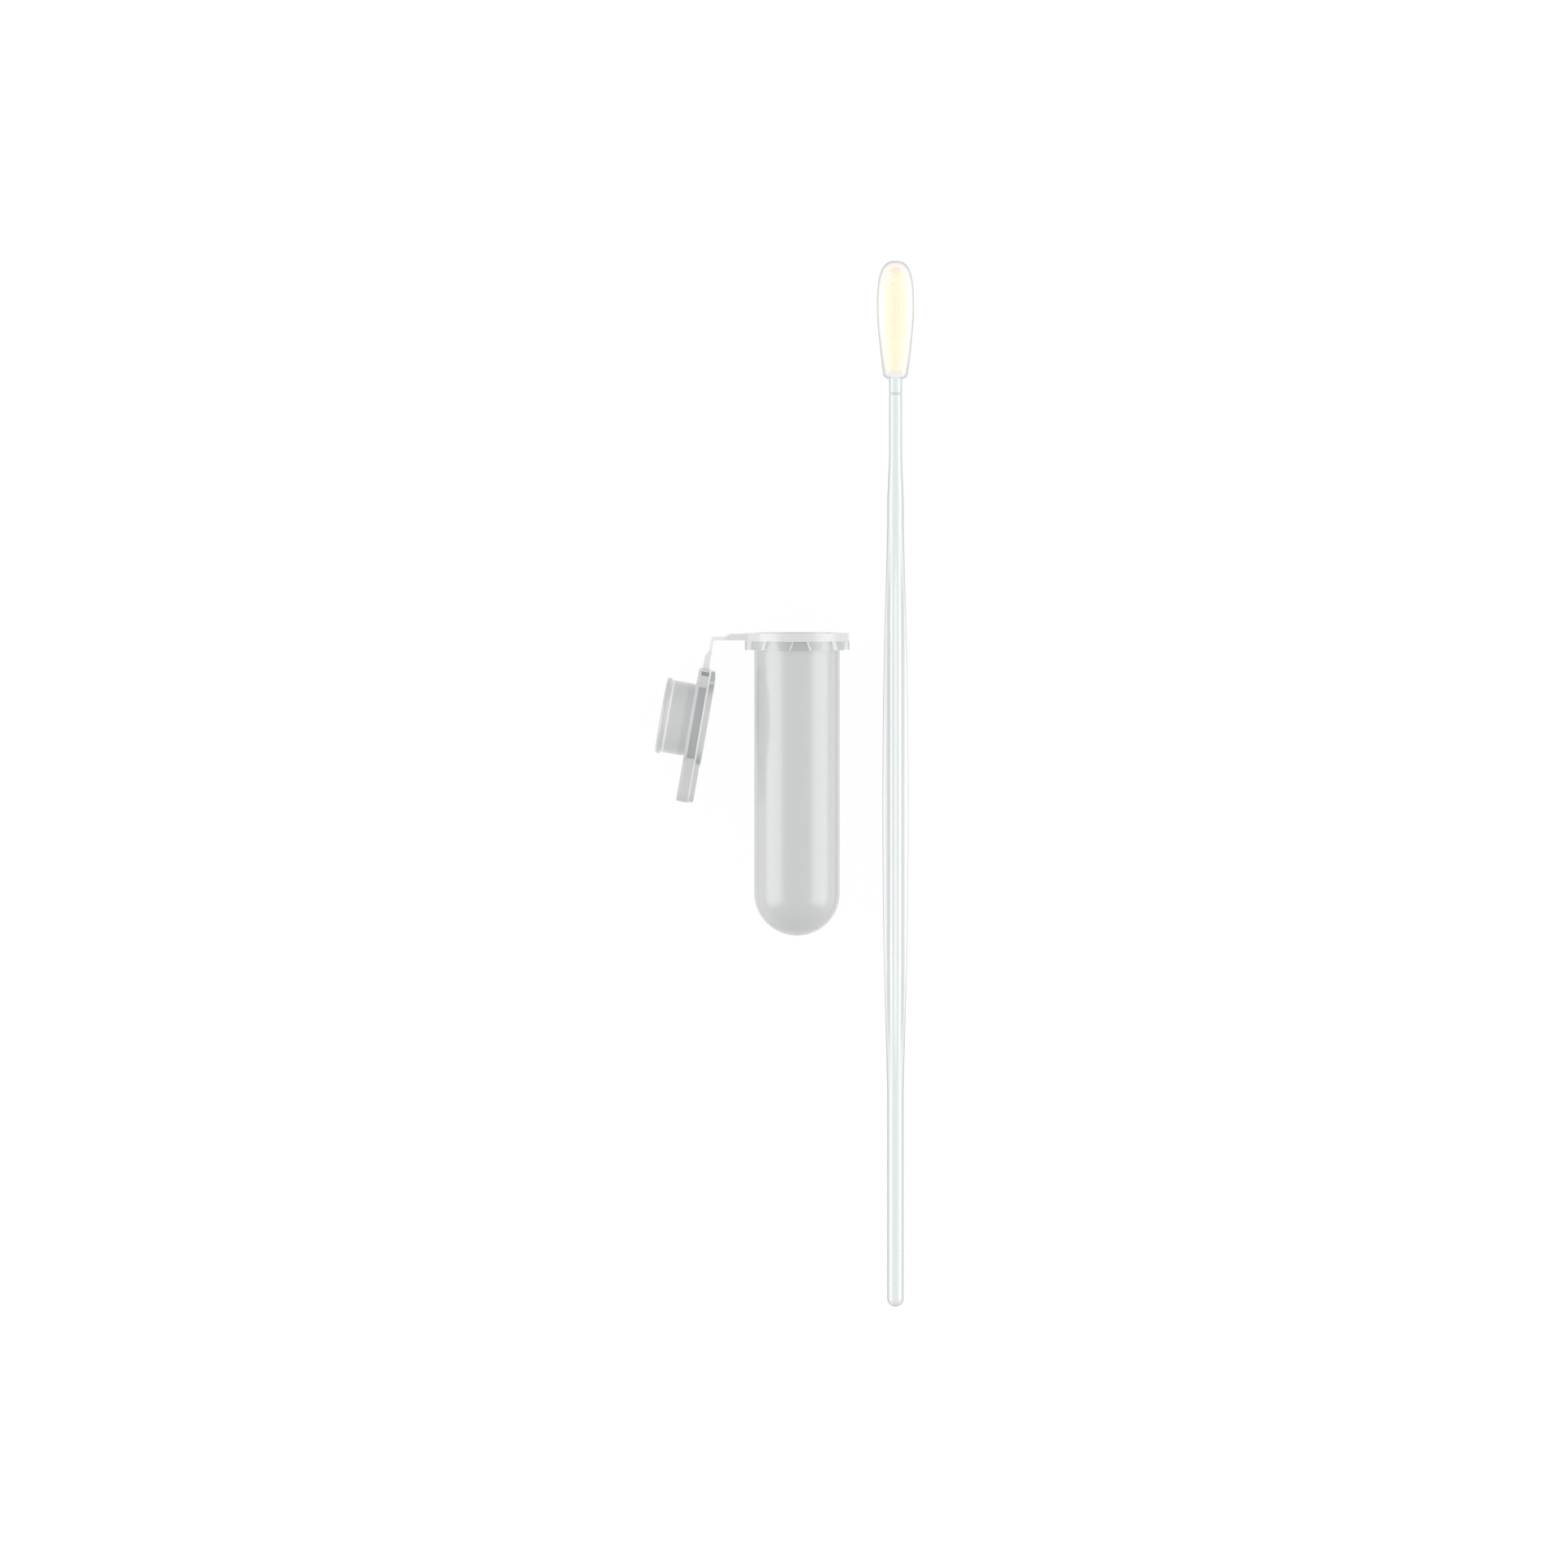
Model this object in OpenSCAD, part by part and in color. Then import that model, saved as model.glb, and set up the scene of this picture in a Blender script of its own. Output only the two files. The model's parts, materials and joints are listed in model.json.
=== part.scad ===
// Flip-cap specimen tube with its collection swab, lying side by side.
// The tube, its strap and its cap are one polypropylene moulding, cut into
// nodes only where the living hinge bends. Millimetres. Row frame: the set
// lies on z = 0 with the swab along Y, and the origin is under its middle.
// Tube frame: origin at the middle of the mouth, +Z out of the mouth, and
// -X toward the hinge. The cap is drawn closed there and then swung open.
// Swab frame: origin at the round end of the shaft, +Z toward the tip.

/* [Tube] */
// Height of the tube from the mouth to the round bottom
tube_len = 38.15; // [30:0.05:60]
// Outside diameter of the tube body
tube_od = 10.8; // [9:0.1:14]
// Wall thickness of the body
tube_wall = 0.5; // [0.45:0.05:0.9]

/* [Collar] */
// How far the collar stands out from the body
collar_out = 1.2; // [0.8:0.1:1.6]
// Height of the solid band of the collar
collar_h = 0.97; // [0.95:0.05:1.5]
// Number of ribs under the collar
rib_count = 10; // [6:1:14]
// Height of the ribs
rib_h = 1.13; // [0.6:0.05:1.6]
// Width of a rib where it meets the collar
rib_top_w = 2.05; // [1.6:0.05:2.3]
// Width of a rib at its foot
rib_foot_w = 1.23; // [0.8:0.05:1.5]
// Turn of the first rib from the side away from the hinge, in degrees
rib_turn = 3.8; // [0:0.2:10]
// How far the flanks of a rib lean in toward its face, in degrees
rib_lean = 1; // [0:1:30]
// How far the neck between the ribs stands out from the body
neck_out = 0.3; // [0.2:0.05:0.5]

/* [Hinge strap] */
// Width of the strap
strap_w = 4.4; // [3:0.1:6]
// Thickness of the stiff leaves of the strap
strap_t = 0.77; // [0.6:0.01:0.8]
// Thickness of the thin web that bends
web_t = 0.42; // [0.3:0.01:0.5]
// Depth of the tube's leaf below the mouth
strap_drop = 0.11; // [0.05:0.01:0.15]
// Length of the tube's stiff leaf
tube_leaf_len = 1.77; // [1.2:0.01:2.4]
// Length of the cap's stiff leaf
cap_leaf_len = 1.56; // [1.2:0.01:2.2]
// Length over which each leaf thins down to the web
leaf_taper = 0.76; // [0.5:0.01:1]
// Distance from the end of the tube's taper to the hinge axis
web_reach = 2.21; // [1.8:0.01:2.8]
// Angle that the cap is swung open from closed, in degrees
open_angle = 260; // [200:5:270]

/* [Cap plate] */
// Diameter of the round plate
plate_d = 12.3; // [12:0.05:12.5]
// Full thickness of the plate and the thumb tab
plate_t = 2.15; // [2:0.05:2.6]
// Thickness of the lower layer, up to the step around the edge
ledge_t = 1.54; // [1.45:0.01:1.7]
// How far the upper layer stands back from the lower one
ledge_in = 0.12; // [0.05:0.01:0.25]
// Diameter of the raised disc on the top
disc_d = 11.9; // [10:0.05:11.9]
// Height of the raised disc above the plate
disc_rise = 0.13; // [0.1:0.01:0.4]
// Offset of the raised disc toward the hinge
disc_shift = 0.2; // [0:0.05:0.25]
// Reach of the heel that carries the strap, from the middle of the plate
heel_reach = 6.7; // [6.4:0.05:7]
// Width of the heel
heel_w = 7.5; // [6.5:0.1:8]
// Reach of the thumb tab from the middle of the plate
tab_reach = 10.28; // [8:0.02:12]
// Width of the thumb tab
tab_w = 6.9; // [5:0.1:8]
// Radius of the tab's corners seen from above
tab_corner = 1.6; // [0.6:0.1:2.4]
// Radius along the edges on the plug side
under_round = 0.3; // [0.1:0.05:0.4]
// Radius along the edges on the outside
top_round = 0.5; // [0.2:0.05:0.6]
// Height of the groove around the rim
groove_h = 1.0; // [0.5:0.05:1.05]
// Depth of the groove around the rim
groove_in = 0.45; // [0.2:0.05:0.6]
// Distance from the underside to the groove
groove_up = 0.38; // [0.3:0.01:0.4]
// Length of the small pocket in each side of the heel
pocket_len = 0.52; // [0.3:0.01:0.6]
// Depth of that pocket
pocket_in = 0.6; // [0.3:0.1:1.6]
// Wall between the pocket and the end of the heel
pocket_wall = 0.32; // [0.2:0.01:0.4]
// Height of the cap's leaf above the underside of the plate
leaf_up = 0.44; // [0.4:0.01:0.6]

/* [Cap plug] */
// Depth of the plug below the plate
plug_len = 3.76; // [3:0.02:4]
// Wall thickness of the plug
plug_wall = 0.62; // [0.5:0.02:0.9]
// Height of the sealing bead around the plug's end
bead_h = 0.84; // [0.6:0.02:1]
// How far the bead stands out from the plug
bead_out = 0.24; // [0.15:0.01:0.35]
// Depth of the relief at the root of the plug
root_in = 0.05; // [0.03:0.01:0.2]
// Height of the relief at the root of the plug
root_h = 0.34; // [0.2:0.02:0.6]
// Thickness of the plate above the plug's hollow
crown_t = 1; // [0.8:0.05:1.2]
// Gap around the bead when the cap is closed
seal_gap = 0.05; // [0.03:0.01:0.1]
// Gap left around the bead while it swings through the mouth
swing_gap = 0.04; // [0.03:0.01:0.06]
// Gap under the plate when the cap is closed
seat_gap = 0.05; // [0.03:0.01:0.1]

/* [Swab] */
// Full length of the swab
swab_len = 132.2; // [100:0.1:160]
// Distance between the tube's axis and the swab's axis
swab_gap = 12.46; // [10:0.02:20]
// Diameter of the plain shaft
shaft_d = 2.1; // [1.9:0.05:2.4]
// Diameter of the thin neck below the tip
neck_d = 1.68; // [1.4:0.02:1.8]
// Length of the neck below the fibre tip
neck_len = 9.7; // [6:0.1:14]
// Length of the cone between the shaft and the neck
neck_taper = 5.6; // [3:0.1:8]
// Distance from the fibre tip to the break mark
break_down = 1.9; // [1:0.1:4]
// Height of the break mark
break_h = 0.35; // [0.2:0.05:0.6]
// Depth of the break mark
break_in = 0.1; // [0.05:0.01:0.2]
// Diameter across the grip fins at their widest
fin_d = 3.46; // [2.8:0.02:4.2]
// Thickness of each grip fin
fin_w = 1.5; // [0.8:0.05:1.7]
// Distance from the round end to the widest place of the grip
fin_mid = 63.1; // [50:0.1:75]
// Length of the grip from end to end
fin_len = 71.6; // [50:0.2:76]

/* [Fibre tip] */
// Length of the fibre tip
bud_len = 14.87; // [12:0.01:18]
// Diameter of the fibre tip at its widest
bud_d = 4.72; // [4:0.02:6]
// Distance from the end of the tip to its widest place
bud_belly = 6.5; // [4:0.1:8]
// Diameter of the fibre tip near its foot
bud_foot_d = 3; // [2.4:0.02:3.4]
// Radius of the edge at the foot
bud_round = 0.62; // [0.3:0.02:0.8]
// Diameter of the shaft's end inside the tip
core_d = 1.14; // [0.8:0.02:1.4]
// Thickness of fibre beyond the shaft's end
bud_nose = 1.9; // [1.4:0.1:3]
// How far the neck runs into the fibre tip
neck_in = 0.4; // [0.2:0.05:0.8]
// Gap between the shaft and the fibre around it
bud_fit = 0.02; // [0.01:0.01:0.05]

/* [Hidden] */
$fn = 96;
// overlap that keeps cuts and joins clean
eps = 0.01;
// steps along a curved outline
steps = 14;

// tube
body_r = tube_od / 2;
bore_r = body_r - tube_wall;
collar_r = body_r + collar_out;
dome_z = -tube_len + body_r;
rib_end_z = -collar_h - rib_h;
rib_slope = (rib_top_w - rib_foot_w) / 2 / rib_h;
rib_root_w = rib_top_w + 2 * collar_out * tan(rib_lean);

// hinge, in the tube frame with the cap closed
leaf_z = -strap_drop - strap_t;
cap_leaf_z = seat_gap + leaf_up + strap_t;
tube_web_z = leaf_z + web_t / 2;
cap_web_z = cap_leaf_z - web_t / 2;
hinge_z = (tube_web_z + cap_web_z) / 2;
web_off = (cap_web_z - tube_web_z) / 2;
tube_web_x = -collar_r - tube_leaf_len - leaf_taper;
hinge_x = tube_web_x - web_reach;
cap_web_x = -heel_reach - cap_leaf_len - leaf_taper;
// turn about +Y that brings the closed cap to its open place
swing = 360 - open_angle;
fold_back = web_off * tan(90 - swing / 2);

// plug and mouth
bead_sec = bead_h / 2;
bead_r = bore_r - seal_gap;
skirt_r = bead_r - bead_out;
hollow_r = skirt_r - plug_wall;
plug_end_z = seat_gap - plug_len;
bead_z = plug_end_z + bead_sec;
crown_z = seat_gap + plate_t - crown_t;
// farthest reach of the bead from the hinge axis, and the mouth it needs
bead_swing = norm([bead_r - hinge_x, bead_z - hinge_z]);
function mouth_r(z) =
    max(bore_r, sqrt(pow(bead_swing, 2) - pow(z - hinge_z, 2)) + hinge_x + swing_gap);

// places of the two things as they lie
lie_run = -dome_z - collar_h;
lie_tilt = acos(body_r / norm([collar_r, lie_run])) - atan2(lie_run, collar_r);
mouth_up = collar_r * cos(lie_tilt) + collar_h * sin(lie_tilt);
tube_span = tube_len * cos(lie_tilt);
bud_r = bud_d / 2;
fin_r = fin_d / 2;
shaft_r = shaft_d / 2;
neck_r = neck_d / 2;
fin_arc = (pow(fin_len / 2, 2) + pow(fin_r - shaft_r, 2)) / (2 * (fin_r - shaft_r));
swab_lean = fin_arc + bud_r - fin_r;
swab_run = swab_len - bud_belly - fin_mid;
swab_tilt = acos(fin_arc / norm([swab_lean, swab_run])) - atan2(swab_run, swab_lean);
swab_up = bud_r * cos(swab_tilt) - (swab_len - bud_belly) * sin(swab_tilt);
swab_span = swab_len * cos(swab_tilt);
// reach of the open cap to one side of the tube's axis, and of the swab to the other
cap_reach = bead_sec - hinge_x
    - (bead_r - bead_sec - hinge_x) * cos(swing) - (bead_z - hinge_z) * sin(swing);
swab_reach = swab_gap + bud_r;
tube_x = (cap_reach - swab_reach) / 2;
swab_x = tube_x + swab_gap;
// middle of the tube's length, a little below the middle of the swab
tube_mid_y = -0.05;

// grip, neck and fibre tip along the swab
bud_z = swab_len - bud_len;
neck_z = bud_z - neck_len;
shaft_top_z = neck_z - neck_taper;
break_z = bud_z - break_down;
core_end_z = swab_len - bud_nose;
// the foot's rounding leaves a rim of fibre around the neck
foot_round = min(bud_round, (bud_foot_d - neck_d) / 2 - 2 * bud_fit);

function fin_edge(z) = sqrt(pow(fin_arc, 2) - pow(z - fin_mid, 2)) - fin_arc + fin_r;
// blunt dome from the end of the tip to its belly, then a slow taper to the foot
bud_blunt = 2.5;
bud_taper = 1.4;
function bud_nose_r(d) =
    bud_r * pow(1 - pow(1 - d / bud_belly, bud_blunt), 1 / bud_blunt);
function bud_tail_r(d) =
    bud_r - (bud_r - bud_foot_d / 2) * pow((d - bud_belly) / (bud_len - bud_belly), bud_taper);

// moves what is drawn in the tube frame to where the tube lies
module lay_tube() {
    translate([tube_x, tube_mid_y + tube_span / 2, mouth_up])
        rotate([lie_tilt - 90, 0, 0]) children();
}

// moves what is drawn in the swab frame to where the swab lies
module lay_swab() {
    translate([swab_x, -swab_span / 2, swab_up])
        rotate([swab_tilt - 90, 0, 0]) children();
}

// swings what is drawn closed about the hinge axis to the open place
module swing_open() {
    translate([hinge_x, 0, hinge_z]) rotate([0, swing, 0])
        translate([-hinge_x, 0, -hinge_z]) children();
}

// extrudes an outline drawn in X and Z to a width across Y
module across(width) {
    translate([0, width / 2, 0]) rotate([90, 0, 0]) linear_extrude(width) children();
}

// bar from x0 to x1 and z0 to z1 with round lower and upper corners
module soft_bar(x0, x1, z0, z1, r0, r1) {
    translate([x0, z0 + r0]) square([x1 - x0, z1 - z0 - r0 - r1]);
    translate([x0 + r0, z0]) square([x1 - x0 - 2 * r0, r0 + eps]);
    translate([x0 + r1, z1 - r1 - eps]) square([x1 - x0 - 2 * r1, r1 + eps]);
    for (x = [x0 + r0, x1 - r0]) translate([x, z0 + r0]) circle(r0);
    for (x = [x0 + r1, x1 - r1]) translate([x, z1 - r1]) circle(r1);
}

// inside of the tube: the mouth that the bead swings through, then the bore
module tube_hollow() {
    mouth_step = (bead_z - eps) / steps;
    rotate_extrude() polygon(concat(
        [[0, dome_z], [0, 1], [mouth_r(0), 1]],
        [for (i = [0:steps]) [mouth_r(i * mouth_step), i * mouth_step]],
        [[bore_r, bead_z - bead_sec], [bore_r, dome_z]]));
    translate([0, 0, dome_z]) sphere(bore_r);
}

// one rib: wide under the collar, narrow at its foot, with flanks that lean in to its face
module rib() {
    cut = 2 * rib_root_w;
    difference() {
        translate([body_r, -rib_root_w / 2, rib_end_z])
            cube([collar_out + eps, rib_root_w, rib_h + eps]);
        for (side = [0, 1]) mirror([0, side, 0])
            translate([collar_r, rib_foot_w / 2, rib_end_z])
            rotate([-atan(rib_slope * cos(rib_lean)), 0, -rib_lean])
            translate([-cut, 0, -cut]) cube([2 * cut, cut, 2 * cut]);
    }
}

// stiff leaf with the end that thins down to the web, from the collar outward
module tube_leaf() {
    across(strap_w) polygon([
        [-body_r, leaf_z], [tube_web_x, leaf_z], [tube_web_x, leaf_z + web_t],
        [tube_web_x + leaf_taper, -strap_drop], [-body_r, -strap_drop]]);
}

module tube() {
    color([0.84, 0.85, 0.85]) lay_tube() difference() {
        union() {
            translate([0, 0, -collar_h]) cylinder(r = collar_r, h = collar_h);
            translate([0, 0, rib_end_z]) cylinder(r = body_r + neck_out, h = rib_h + eps);
            translate([0, 0, dome_z]) cylinder(r = body_r, h = -dome_z - eps);
            translate([0, 0, dome_z]) sphere(body_r);
            intersection() {
                for (i = [0:rib_count - 1]) rotate([0, 0, rib_turn + i * 360 / rib_count]) rib();
                translate([0, 0, rib_end_z]) cylinder(r = collar_r, h = rib_h + eps);
            }
            tube_leaf();
        }
        tube_hollow();
    }
}

// the part of the strap that bends, as it stands with the cap open
module hinge_web() {
    fold_x = hinge_x + fold_back;
    color([0.9, 0.91, 0.91]) lay_tube() across(strap_w) {
        translate([fold_x, tube_web_z - web_t / 2]) square([tube_web_x - fold_x, web_t]);
        translate([fold_x, tube_web_z]) {
            circle(web_t / 2);
            rotate(-swing) translate([0, -web_t / 2]) square([cap_web_x - fold_x, web_t]);
        }
    }
}

// outline of the plate, the heel and the tab, drawn back by an amount
module plate_outline(back) {
    corner = tab_corner - back;
    circle(plate_d / 2 - back);
    translate([-heel_reach + back, -heel_w / 2 + back])
        square([heel_reach - back, heel_w - 2 * back]);
    translate([0, -tab_w / 2 + back]) square([tab_reach - tab_corner, tab_w - 2 * back]);
    translate([0, -tab_w / 2 + tab_corner]) square([tab_reach - back, tab_w - 2 * tab_corner]);
    for (side = [-1, 1]) translate([tab_reach - tab_corner, side * (tab_w / 2 - tab_corner)])
        circle(corner);
}

// the plate with its step, its rim groove and the pockets in its heel
module cap_plate() {
    top_z = seat_gap + plate_t;
    difference() {
        intersection() {
            union() {
                translate([0, 0, seat_gap]) linear_extrude(ledge_t) plate_outline(0);
                translate([0, 0, seat_gap]) linear_extrude(plate_t) plate_outline(ledge_in);
            }
            across(2 * plate_d)
                soft_bar(-heel_reach, tab_reach, seat_gap, top_z, under_round, top_round);
        }
        difference() {
            translate([0, 0, seat_gap + groove_up]) cylinder(r = plate_d, h = groove_h);
            translate([0, 0, seat_gap]) cylinder(r = plate_d / 2 - groove_in, h = plate_t);
            translate([-plate_d * 2, -heel_w / 2, seat_gap]) cube([plate_d * 2, heel_w, plate_t]);
            translate([0, -tab_w / 2, seat_gap]) cube([plate_d * 2, tab_w, plate_t]);
        }
        for (side = [-1, 1]) translate([-heel_reach + pocket_wall,
                side * heel_w / 2 - pocket_in, seat_gap + groove_up])
            cube([pocket_len, 2 * pocket_in, groove_h]);
    }
}

// shallow raised disc with a round edge
module cap_disc() {
    disc_r = disc_d / 2;
    disc_z = seat_gap + plate_t + disc_rise;
    translate([-disc_shift, 0, 0]) rotate_extrude() {
        translate([0, seat_gap + ledge_t]) square([disc_r - top_round, disc_z - seat_gap - ledge_t]);
        translate([0, seat_gap + ledge_t]) square([disc_r, disc_z - seat_gap - ledge_t - top_round]);
        translate([disc_r - top_round, disc_z - top_round]) circle(top_round);
    }
}

// hollow plug, open toward the tube, with the sealing bead around its end
module cap_plug() {
    rotate_extrude() {
        difference() {
            translate([hollow_r, bead_z]) square([plug_wall, seat_gap + ledge_t / 2 - bead_z]);
            translate([skirt_r - root_in, seat_gap - root_h]) square([root_in + eps, root_h]);
        }
        translate([hollow_r, plug_end_z]) square([bead_r - bead_sec - hollow_r, bead_sec + eps]);
        translate([bead_r - bead_sec, bead_z]) circle(bead_sec);
    }
}

// the cap's stiff leaf, from the thin web to the heel
module cap_leaf() {
    across(strap_w) polygon([
        [-heel_reach + top_round + eps, cap_leaf_z], [cap_web_x, cap_leaf_z],
        [cap_web_x, cap_leaf_z - web_t], [cap_web_x + leaf_taper, cap_leaf_z - strap_t],
        [-heel_reach + top_round + eps, cap_leaf_z - strap_t]]);
}

module cap() {
    color([0.8, 0.81, 0.81]) lay_tube() swing_open() {
        difference() {
            union() {
                cap_plate();
                cap_disc();
            }
            translate([0, 0, seat_gap - 1]) cylinder(r = hollow_r, h = crown_z - seat_gap + 1);
        }
        cap_plug();
        cap_leaf();
    }
}

// outline of the shaft that is turned: round end, shaft, neck and inner end
module shaft_core() {
    rotate_extrude() difference() {
        union() {
            intersection() {
                translate([0, shaft_r]) circle(shaft_r);
                square([shaft_r, 2 * shaft_r]);
            }
            polygon([
                [0, shaft_r], [shaft_r, shaft_r], [shaft_r, shaft_top_z], [neck_r, neck_z],
                [neck_r, bud_z + neck_in], [core_d / 2, bud_z + neck_in + neck_r - core_d / 2],
                [core_d / 2, core_end_z], [0, core_end_z]]);
        }
        translate([neck_r - break_in, break_z - break_h / 2]) square([break_in + eps, break_h]);
    }
}

// four fins that swell toward the middle of the grip
module shaft_fins() {
    fin_step = fin_len / steps;
    fin_foot = fin_mid - fin_len / 2;
    intersection() {
        rotate_extrude() polygon(concat(
            [[0, fin_foot]],
            [for (i = [0:steps]) [fin_edge(fin_foot + i * fin_step), fin_foot + i * fin_step]],
            [[0, fin_foot + fin_len]]));
        union() {
            translate([-fin_d, -fin_w / 2, fin_foot]) cube([2 * fin_d, fin_w, fin_len]);
            translate([-fin_w / 2, -fin_d, fin_foot]) cube([fin_w, 2 * fin_d, fin_len]);
        }
    }
}

module swab_shaft() {
    color([0.95, 0.97, 0.98]) lay_swab() {
        shaft_core();
        shaft_fins();
    }
}

// fibre wound on the shaft's end, with the shaft's hole through its foot
module swab_bud() {
    foot_r = bud_foot_d / 2 - foot_round;
    hole_top = core_end_z + bud_fit;
    cone_z = bud_z + neck_in;
    color([0.99, 0.96, 0.87]) lay_swab() rotate_extrude() difference() {
        polygon(concat(
            [for (i = [0:steps]) let (d = bud_belly * pow(i / steps, 2))
                [bud_nose_r(d), swab_len - d]],
            [for (i = [1:steps]) let (d = bud_belly + (bud_len - bud_belly - foot_round) * i / steps)
                [bud_tail_r(d), swab_len - d]],
            [for (a = [30:30:90])
                [foot_r + foot_round * cos(a), bud_z + foot_round * (1 - sin(a))]],
            [[0, bud_z]]));
        polygon([
            [0, bud_z - 1], [neck_r + bud_fit, bud_z - 1], [neck_r + bud_fit, cone_z],
            [core_d / 2 + bud_fit, cone_z + neck_r - core_d / 2],
            [core_d / 2 + bud_fit, hole_top], [0, hole_top]]);
    }
}

tube();
hinge_web();
cap();
swab_shaft();
swab_bud();
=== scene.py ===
import json
import math
import random

import bpy
from mathutils import Matrix, Vector
from mathutils.noise import noise


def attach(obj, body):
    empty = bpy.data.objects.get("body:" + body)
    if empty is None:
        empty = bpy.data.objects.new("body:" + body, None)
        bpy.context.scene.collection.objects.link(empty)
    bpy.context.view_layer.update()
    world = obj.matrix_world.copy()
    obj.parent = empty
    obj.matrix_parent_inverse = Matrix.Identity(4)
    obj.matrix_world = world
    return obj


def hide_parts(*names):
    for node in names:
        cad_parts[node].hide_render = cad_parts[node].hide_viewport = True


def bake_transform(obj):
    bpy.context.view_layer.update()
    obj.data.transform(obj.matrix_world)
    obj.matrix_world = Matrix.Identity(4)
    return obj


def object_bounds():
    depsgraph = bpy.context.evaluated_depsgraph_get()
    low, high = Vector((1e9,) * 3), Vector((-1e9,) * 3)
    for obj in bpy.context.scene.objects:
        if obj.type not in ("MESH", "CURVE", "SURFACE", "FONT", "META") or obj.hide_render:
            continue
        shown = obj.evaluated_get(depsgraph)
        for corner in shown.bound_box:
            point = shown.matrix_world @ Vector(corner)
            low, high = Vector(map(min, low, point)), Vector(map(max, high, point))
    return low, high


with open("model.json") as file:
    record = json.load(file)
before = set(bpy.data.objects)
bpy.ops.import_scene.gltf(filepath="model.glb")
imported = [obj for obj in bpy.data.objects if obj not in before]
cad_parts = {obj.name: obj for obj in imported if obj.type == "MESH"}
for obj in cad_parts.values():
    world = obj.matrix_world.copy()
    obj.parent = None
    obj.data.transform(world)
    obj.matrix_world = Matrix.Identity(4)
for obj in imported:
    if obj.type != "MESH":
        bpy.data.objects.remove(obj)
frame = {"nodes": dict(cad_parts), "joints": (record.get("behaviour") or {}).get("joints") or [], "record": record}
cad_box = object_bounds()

# Flip-cap specimen tube and its collection swab, lying side by side.
# The tube and the cap keep their solids. The web of the living hinge, the swab's shaft and
# its fibre tip are meshes of their own that stand for their solids.

MM = 0.001

# ---------------------------------------------------------------- the frame

record = frame["record"]
mounts = {m["name"]: m for m in record["mounts"]}
hinge = frame["joints"][0]
OUT_OF_MOUTH = Vector(mounts["tube_bore"]["axis"]).normalized()
HINGE_AXIS = Vector(hinge["axis"]).normalized()
HINGE_AT = Vector(hinge["pos_m"])
# turns what is drawn with the cap closed to where the cap hangs
OPENED = Matrix.Rotation(math.radians(-hinge["range_deg"][0]), 3, HINGE_AXIS)


def reach(node, direction):
    """How far a node's mesh goes along a direction, from the row's origin."""
    return max(v.co.dot(direction) for v in frame["nodes"][node].data.vertices)


def pole(node, direction):
    """The point of a round end that is farthest along a direction."""
    return max((v.co for v in frame["nodes"][node].data.vertices), key=direction.dot).copy()


tube_foot = pole("tube", -OUT_OF_MOUTH)
# the rim of the collar is the tube's farthest point that way, so it gives the mouth's plane
MOUTH = tube_foot + OUT_OF_MOUTH * (reach("tube", OUT_OF_MOUTH) - tube_foot.dot(OUT_OF_MOUTH))
TOWARD_HINGE = HINGE_AXIS.cross(OUT_OF_MOUTH).normalized()
CAP_OUT = OPENED @ OUT_OF_MOUTH
CAP_MIDDLE = HINGE_AT + OPENED @ (MOUTH - HINGE_AT)

SWAB_END = pole("swab_shaft", Vector((0, -1, 0)))
SWAB_TIP = pole("swab_bud", Vector((0, 1, 0)))
SWAB_ALONG = (SWAB_TIP - SWAB_END).normalized()
SWAB_UP = (Vector((0, 0, 1)) - SWAB_ALONG * SWAB_ALONG.z).normalized()
SWAB_SIDE = SWAB_ALONG.cross(SWAB_UP)

# ------------------------------------------------- sizes that the solids have

# the strap: its web, the two leaves that it joins, and how far each end of the web lies
# from the hinge's axis, through the strap's thickness
WEB_T = 0.42 * MM
WEB_OFF = 0.86 * MM
STRAP_W = 4.4 * MM
COLLAR_R = 6.6 * MM
TUBE_LEAF = 2.53 * MM
CAP_HEEL = 6.7 * MM
CAP_LEAF = 2.32 * MM

SHAFT_R = 1.05 * MM
NECK_R = 0.84 * MM
NECK_LEN = 9.7 * MM
NECK_TAPER = 5.6 * MM
FIN_R = 1.73 * MM
FIN_HALF_W = 0.75 * MM
FIN_MID = 63.1 * MM
FIN_LEN = 71.6 * MM
# angle from one fin to the next
FIN_TURN = math.pi / 2
BREAK_DOWN = 1.9 * MM
BREAK_H = 0.35 * MM

BUD_LEN = 14.87 * MM
BUD_R = 2.36 * MM
BUD_BELLY = 6.5 * MM
BUD_FOOT_R = 1.5 * MM
BUD_ROUND = 0.62 * MM
BUD_TAPER = 1.4

SWAB_LEN = (SWAB_TIP - SWAB_END).length
BUD_START = SWAB_LEN - BUD_LEN
NECK_START = BUD_START - NECK_LEN
SHAFT_TOP = NECK_START - NECK_TAPER
BREAK_AT = BUD_START - BREAK_DOWN
FIN_ARC = ((FIN_LEN / 2) ** 2 + (FIN_R - SHAFT_R) ** 2) / (2 * (FIN_R - SHAFT_R))

# ---------------------------------------------- sizes that only the scene has

# rounding of the fins' crests and of the roots between them
CREST_ROUND = 0.3 * MM
ROOT_ROUND = 0.3 * MM
# how far past their ends the fins may still blend into the round shaft
FIN_FADE = 1 * MM
# depth of the break mark, shallower than in its solid, and how steep its sides are
BREAK_IN = 0.03 * MM
BREAK_STEEP = 1.6
# how far close rings of points go to either side of the break mark's middle, and where the
# next ring toward the tip lies
MARK_REACH = 0.55 * BREAK_H
MARK_CLEAR = 0.8 * MM
# how far the shaft goes on inside the fibre tip
SHAFT_HIDDEN = 1 * MM
# radius of the fold at the middle of the web's thickness, and rounding of its long edges
FOLD_R = 0.3 * MM
WEB_CORNER = 0.08 * MM
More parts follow.
